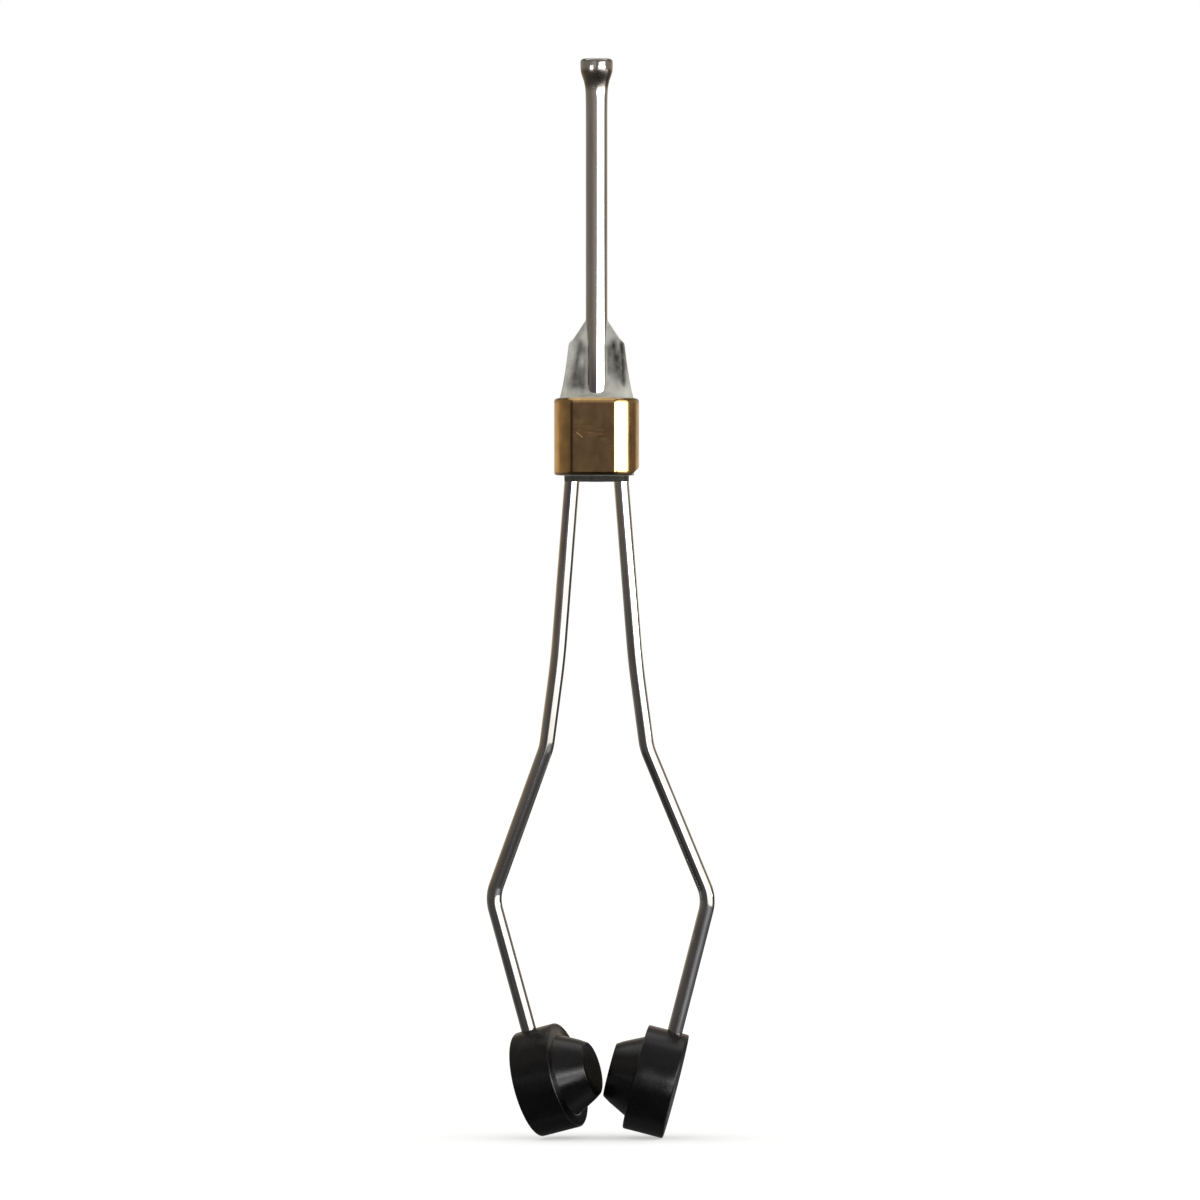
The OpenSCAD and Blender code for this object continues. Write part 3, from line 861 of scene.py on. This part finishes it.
# Studio
# A pale floor under the feet and a white surround. Around the object stand cards that only reflections see:
# a bright panel at the right, a grey flag at the left and behind, a dark bowl below, a grey ceiling, and
# small cards for the tip, the collar and the feet. Distances are from the tube's axis.
floor_z = cad_bounds[0].z
floor_half = 3.0
panel_r = 0.5
panel_low = -0.0525
panel_slant = 0.14
surround_r = 0.7
flag_r = 0.12
back_r = 0.25
bowl_r = 3.0
around_bowl = 72
flat_shade_r = 0.115
tip_card_r = 0.01
tip_shade_r = 0.012
rim_card_r = 0.24
nose_shade_r = 0.06


def light_paths(tree):
    """1 for a ray from the camera, a reflection or a transmission, and 0 for any other."""
    path = add(tree, "ShaderNodeLightPath", {}, {})
    either = add(tree, "ShaderNodeMath", {"operation": "MAXIMUM"}, {
        0: path.outputs["Is Camera Ray"], 1: path.outputs["Is Glossy Ray"],
    })
    return add(tree, "ShaderNodeMath", {"operation": "MAXIMUM"}, {
        0: either.outputs[0], 1: path.outputs["Is Transmission Ray"],
    }).outputs[0]


world = bpy.data.worlds.new("white_surround")
bpy.context.scene.world = world
world.use_nodes = True
world.node_tree.nodes.clear()
seen = light_paths(world.node_tree)
lit = add(world.node_tree, "ShaderNodeBackground", {}, {"Color": linear("FFFFFF"), "Strength": 0.75})
shown = add(world.node_tree, "ShaderNodeBackground", {}, {"Color": linear("FFFFFF"), "Strength": 1.0})
mixed = add(world.node_tree, "ShaderNodeMixShader", {}, {0: seen, 1: lit.outputs[0], 2: shown.outputs[0]})
add(world.node_tree, "ShaderNodeOutputWorld", {}, {"Surface": mixed.outputs[0]})

pale_floor, tree = new_material("pale_studio_floor")[:2]
path = add(tree, "ShaderNodeLightPath", {}, {})
paint = add(tree, "ShaderNodeBsdfDiffuse", {}, {"Color": linear("E8E8E6")})
glow = add(tree, "ShaderNodeEmission", {}, {"Color": linear("FFFFFF"), "Strength": 0.45})
both = add(tree, "ShaderNodeAddShader", {}, {0: paint.outputs[0], 1: glow.outputs[0]})
white = add(tree, "ShaderNodeEmission", {}, {"Color": linear("FFFFFF"), "Strength": 1.0})
to_camera = add(tree, "ShaderNodeMixShader", {}, {
    0: path.outputs["Is Camera Ray"], 1: paint.outputs[0], 2: both.outputs[0],
})
to_gloss = add(tree, "ShaderNodeMixShader", {}, {
    0: path.outputs["Is Glossy Ray"], 1: to_camera.outputs[0], 2: white.outputs[0],
})
finish_material(tree, to_gloss)
floor = mesh_piece(
    "studio_floor",
    [(x * floor_half, y * floor_half, floor_z) for x, y in ((-1, -1), (1, -1), (1, 1), (-1, 1))],
    [(0, 1, 2, 3)], pale_floor,
)
floor.visible_glossy = False


def by_azimuth(tree, place, stops):
    """A colour by azimuth, from stops of an azimuth in degrees and a linear brightness or colour."""
    parts = add(tree, "ShaderNodeSeparateXYZ", {}, {"Vector": place})
    front = add(tree, "ShaderNodeMath", {"operation": "MULTIPLY"}, {0: parts.outputs["Y"], 1: -1.0})
    azimuth = add(tree, "ShaderNodeMath", {"operation": "ARCTAN2"}, {
        0: parts.outputs["X"], 1: front.outputs[0],
    })
    low, high = stops[0][0], stops[-1][0]
    share = remap(tree, azimuth.outputs[0], math.radians(low), math.radians(high), 0.0, 1.0)
    node = add(tree, "ShaderNodeValToRGB", {}, {"Fac": share})
    while len(node.color_ramp.elements) < len(stops):
        node.color_ramp.elements.new(0.5)
    for element, (angle, colour) in zip(node.color_ramp.elements, stops):
        element.position = (angle - low) / (high - low)
        element.color = [*colour, 1.0] if isinstance(colour, tuple) else [colour, colour, colour, 1.0]
    return node.outputs["Color"]


def blended(tree, share, first, second):
    """One colour, then another, by a share from 0 to 1."""
    return add(tree, "ShaderNodeMix", {"data_type": "RGBA"}, {0: share, 6: first, 7: second}).outputs[2]


def slanted(tree, place, rise, low, high):
    """A share from 0 to 1 between two heights, where the height counts a share of the way to the right."""
    parts = add(tree, "ShaderNodeSeparateXYZ", {}, {"Vector": place})
    height = add(tree, "ShaderNodeMath", {"operation": "MULTIPLY_ADD"}, {
        0: parts.outputs["X"], 1: rise, 2: parts.outputs["Z"],
    })
    return add(tree, "ShaderNodeMapRange", {"clamp": True, "interpolation_type": "SMOOTHSTEP"}, {
        "Value": height.outputs[0], "From Min": low, "From Max": high, "To Min": 0.0, "To Max": 1.0,
    }).outputs["Result"]


def at(azimuth, distance, z):
    """A point at an azimuth from the camera's side, positive to the right, in degrees."""
    angle = math.radians(azimuth)
    return (distance * math.sin(angle), -distance * math.cos(angle), z)


def only_mirrored(piece):
    """Makes a piece of the studio one that only mirror-like surfaces see."""
    for rays in ("camera", "diffuse", "transmission", "shadow"):
        setattr(piece, "visible_" + rays, False)


def card(name, low_edge, high_edge, material):
    """A card between two edges of points."""
    count = len(low_edge)
    faces = [(i, i + 1, count + i + 1, count + i) for i in range(count - 1)]
    only_mirrored(mesh_piece(name, low_edge + high_edge, faces, material))


def round_card(name, azimuths, distance, low, high, material):
    """A card that bends round the axis, between two heights."""
    card(name, [at(a, distance, low) for a in azimuths], [at(a, distance, high) for a in azimuths], material)


def glowing(name, colour, strength=1.0):
    """A material of one even brightness."""
    material, tree = new_material(name)[:2]
    light = add(tree, "ShaderNodeEmission", {}, {"Color": [*colour, 1.0], "Strength": strength})
    finish_material(tree, light)
    return material


# The panel's lower edge slants, so that only the legs that lean the right way catch it. A hotter strip in it
# burns out the brass, and the rest is just bright enough to burn out the steel.
bright, tree, place = new_material("bright_panel")
shares = by_azimuth(tree, place, [
    (-2, 0.05), (1.5, 0.3), (6, 0.8), (10, 1.0), (86, 1.0), (90, 0.8), (94, 0.12), (98, 0.06),
])
hot = add(tree, "ShaderNodeMath", {"operation": "MULTIPLY"}, {
    0: slanted(tree, place, 0.0, -0.006, 0.0), 1: slanted(tree, place, 0.0, 0.034, 0.026),
}).outputs[0]
lamp = add(tree, "ShaderNodeVectorMath", {"operation": "SCALE"}, {
    0: shares, "Scale": remap(tree, hot, 0.0, 1.0, 2.3, 11.0),
}).outputs[0]
panel_light = blended(
    tree, slanted(tree, place, panel_slant, panel_low, -0.035), [0.1, 0.1, 0.1, 1.0], lamp,
)
finish_material(tree, add(tree, "ShaderNodeEmission", {}, {"Color": panel_light}))
panel_tops = [(-2, 0.083), (5, 0.083), (20, 0.10), (45, 0.133), (60, 0.158), (75, 0.183), (98, 0.21)]
card(
    "soft_panel",
    [at(a, panel_r, panel_low - panel_slant * panel_r * math.sin(math.radians(a))) for a, _ in panel_tops],
    [at(a, panel_r, top) for a, top in panel_tops],
    bright,
)
round_card(
    "panel_surround", range(-10, 106, 5), surround_r, -0.04, 0.6,
    glowing("dim_surround", (0.17, 0.155, 0.15)),
)

# The flag is lighter high up, where the tube mirrors it, than low down, where the legs and the feet do. It
# has three bands, and dims to half above the tube.
flag_grey, tree, place = new_material("grey_flag")
high_grey = by_azimuth(tree, place, [
    (-180, (0.55, 0.50, 0.43)), (-150, (0.42, 0.38, 0.32)), (-128, (0.35, 0.32, 0.27)),
    (-106, (0.30, 0.27, 0.22)), (-89, (0.25, 0.235, 0.20)), (-60, (0.235, 0.225, 0.20)),
    (-47, (0.265, 0.25, 0.23)), (-35, (0.33, 0.30, 0.285)), (-23, (0.40, 0.36, 0.345)),
    (-11, (0.48, 0.42, 0.40)), (0, (0.48, 0.43, 0.42)), (97, (0.29, 0.25, 0.20)),
    (120, (0.34, 0.29, 0.23)), (142, (0.5, 0.45, 0.38)), (180, (0.55, 0.50, 0.43)),
])
low_grey = by_azimuth(tree, place, [
    (-180, (0.80, 0.70, 0.55)), (-130, (0.74, 0.58, 0.37)), (-117, (0.37, 0.29, 0.20)),
    (-106, (0.31, 0.26, 0.20)), (-89, (0.25, 0.21, 0.175)), (-74, (0.21, 0.18, 0.155)),
    (-47, (0.165, 0.15, 0.14)), (-35, (0.165, 0.15, 0.14)), (-23, (0.20, 0.185, 0.175)),
    (-13, (0.29, 0.265, 0.26)), (0, (0.38, 0.36, 0.35)), (97, (0.19, 0.155, 0.14)),
    (128, (0.21, 0.165, 0.13)), (141, (0.76, 0.67, 0.55)), (180, (0.80, 0.70, 0.55)),
])
deep_grey = by_azimuth(tree, place, [
    (-180, (0.35, 0.33, 0.30)), (-130, (0.34, 0.32, 0.28)), (-106, (0.24, 0.225, 0.20)),
    (-89, (0.18, 0.17, 0.16)), (-60, (0.145, 0.14, 0.14)), (-35, (0.115, 0.11, 0.11)),
    (-11, (0.12, 0.115, 0.115)), (0, (0.13, 0.125, 0.125)), (97, (0.14, 0.13, 0.12)),
    (125, (0.09, 0.085, 0.08)), (160, (0.07, 0.07, 0.07)), (180, (0.20, 0.19, 0.18)),
])
lower_greys = blended(tree, slanted(tree, place, 0.0, -0.020, -0.011), deep_grey, low_grey)
greys = blended(tree, slanted(tree, place, 0.0, 0.0138, 0.0172), lower_greys, high_grey)
dimmed = add(tree, "ShaderNodeVectorMath", {"operation": "SCALE"}, {
    0: greys, "Scale": remap(tree, slanted(tree, place, 0.0, 0.07, 0.1), 0.0, 1.0, 1.0, 0.5),
}).outputs[0]
finish_material(tree, add(tree, "ShaderNodeEmission", {}, {"Color": dimmed}))
round_card("grey_flag", range(-128, 0, 3), flag_r, -0.045, 0.15, flag_grey)
round_card("grey_back_flag", range(98, 240, 3), back_r, -0.096, 0.3, flag_grey)

# A shade for the collar's flat, a light for the back rim of the right foot, and a shade for the end face of
# the left nose.
round_card(
    "flat_shade", range(-56, 0, 9), flat_shade_r, 0.001, 0.0135,
    glowing("violet_grey_shade", (0.12, 0.11, 0.14)),
)
round_card(
    "rim_card", (138, 158), rim_card_r, -0.099, -0.084,
    glowing("small_rim_light", (1.0, 1.0, 1.06), 1.4),
)
round_card(
    "nose_end_shade", (132, 150, 168), nose_shade_r, -0.066, -0.045,
    glowing("dark_nose_shade", (0.05, 0.05, 0.05)),
)

# The bowl is dark, but lighter low at the right for the splayed left leg and the left nose. Above that is a
# dim slanting band for the last leg of the right wire.
bowl_grey, tree, place = new_material("dark_bowl")
darks = by_azimuth(tree, place, [
    (-180, 0.16), (-128, 0.28), (-106, 0.21), (-89, 0.15), (-60, 0.095), (-35, 0.11),
    (0, (0.10, 0.095, 0.10)), (46, 0.12), (60, 0.17), (74, 0.25), (89, 0.41), (106, 0.50), (122, 0.34),
    (155, 0.06), (180, 0.16),
])
dims = by_azimuth(tree, place, [
    (0, 0.13), (11, (0.20, 0.20, 0.21)), (23, (0.34, 0.35, 0.38)), (35, (0.48, 0.50, 0.56)),
    (46, (0.54, 0.57, 0.65)), (58, (0.52, 0.54, 0.61)), (71, (0.40, 0.41, 0.45)), (85, (0.28, 0.29, 0.31)),
    (106, 0.2), (130, 0.13),
])
bowl_shade = blended(tree, slanted(tree, place, 0.29, -0.19, -0.11), darks, dims)
sunk = add(tree, "ShaderNodeVectorMath", {"operation": "SCALE"}, {
    0: bowl_shade, "Scale": remap(tree, slanted(tree, place, 0.0, -1.05, -0.75), 0.0, 1.0, 0.45, 1.0),
}).outputs[0]
finish_material(tree, add(tree, "ShaderNodeEmission", {}, {"Color": sunk}))
elevations = [math.radians(e) for e in range(-89, 5, 3)]
bowl_rings = [(bowl_r * math.cos(e), bowl_r * math.sin(e)) for e in elevations]
only_mirrored(mesh_piece(
    "dark_bowl", turned(bowl_rings, around_bowl), ring_faces(len(bowl_rings), around_bowl, closed=False),
    bowl_grey,
))
card(
    "grey_ceiling",
    [(-0.6, -0.7, 0.5), (0.6, -0.7, 0.5)], [(-0.6, -0.02, 0.5), (0.6, -0.02, 0.5)],
    glowing("grey_ceiling_light", (1.0, 1.0, 1.0), 0.3),
)

# The tip's two bright spots: a small card makes the left one, and shades narrow the panel to the right one.
round_card(
    "tip_card", (-44, -24), tip_card_r, tube_top - 2.9 * MM, tube_top - 0.9 * MM,
    glowing("small_tip_light", (1.0, 1.0, 1.0), 7.0),
)
tip_shade_span = tube_top - 2.65 * MM, tube_top + 5 * MM
round_card(
    "tip_shade", (60, 80, 98), tip_shade_r, *tip_shade_span,
    glowing("brown_tip_shade", (0.34, 0.28, 0.22)),
)
round_card(
    "middle_tip_shade", (-4, 14), tip_shade_r, *tip_shade_span,
    glowing("grey_tip_shade", (0.22, 0.21, 0.19)),
)

# A small card that brightens the soft spot on the left nose.
card(
    "nose_card",
    [(0.008, -0.059, -0.073), (0.024, -0.054, -0.073)], [(0.008, -0.059, -0.0628), (0.024, -0.054, -0.0628)],
    glowing("small_nose_light", (1.0, 1.0, 1.0), 4.5),
)

# Camera
# It looks along +Y from straight in front of the wires' plane, from far enough to keep the tube's sides even.
view_width = 0.12
view_centre = Vector((0.00034, 0.0, -0.01182))
view_distance = 0.9
camera_data = bpy.data.cameras.new("front_camera")
camera_data.sensor_width = 36
camera_data.lens = camera_data.sensor_width * view_distance / view_width
camera_data.clip_start = 0.01
camera_data.clip_end = 20
camera = bpy.data.objects.new("front_camera", camera_data)
camera.location = view_centre + Vector((0, -view_distance, 0))
camera.rotation_euler = (math.radians(90), 0, 0)
bpy.context.scene.collection.objects.link(camera)
bpy.context.scene.camera = camera
bpy.context.scene.view_settings.view_transform = "Standard"
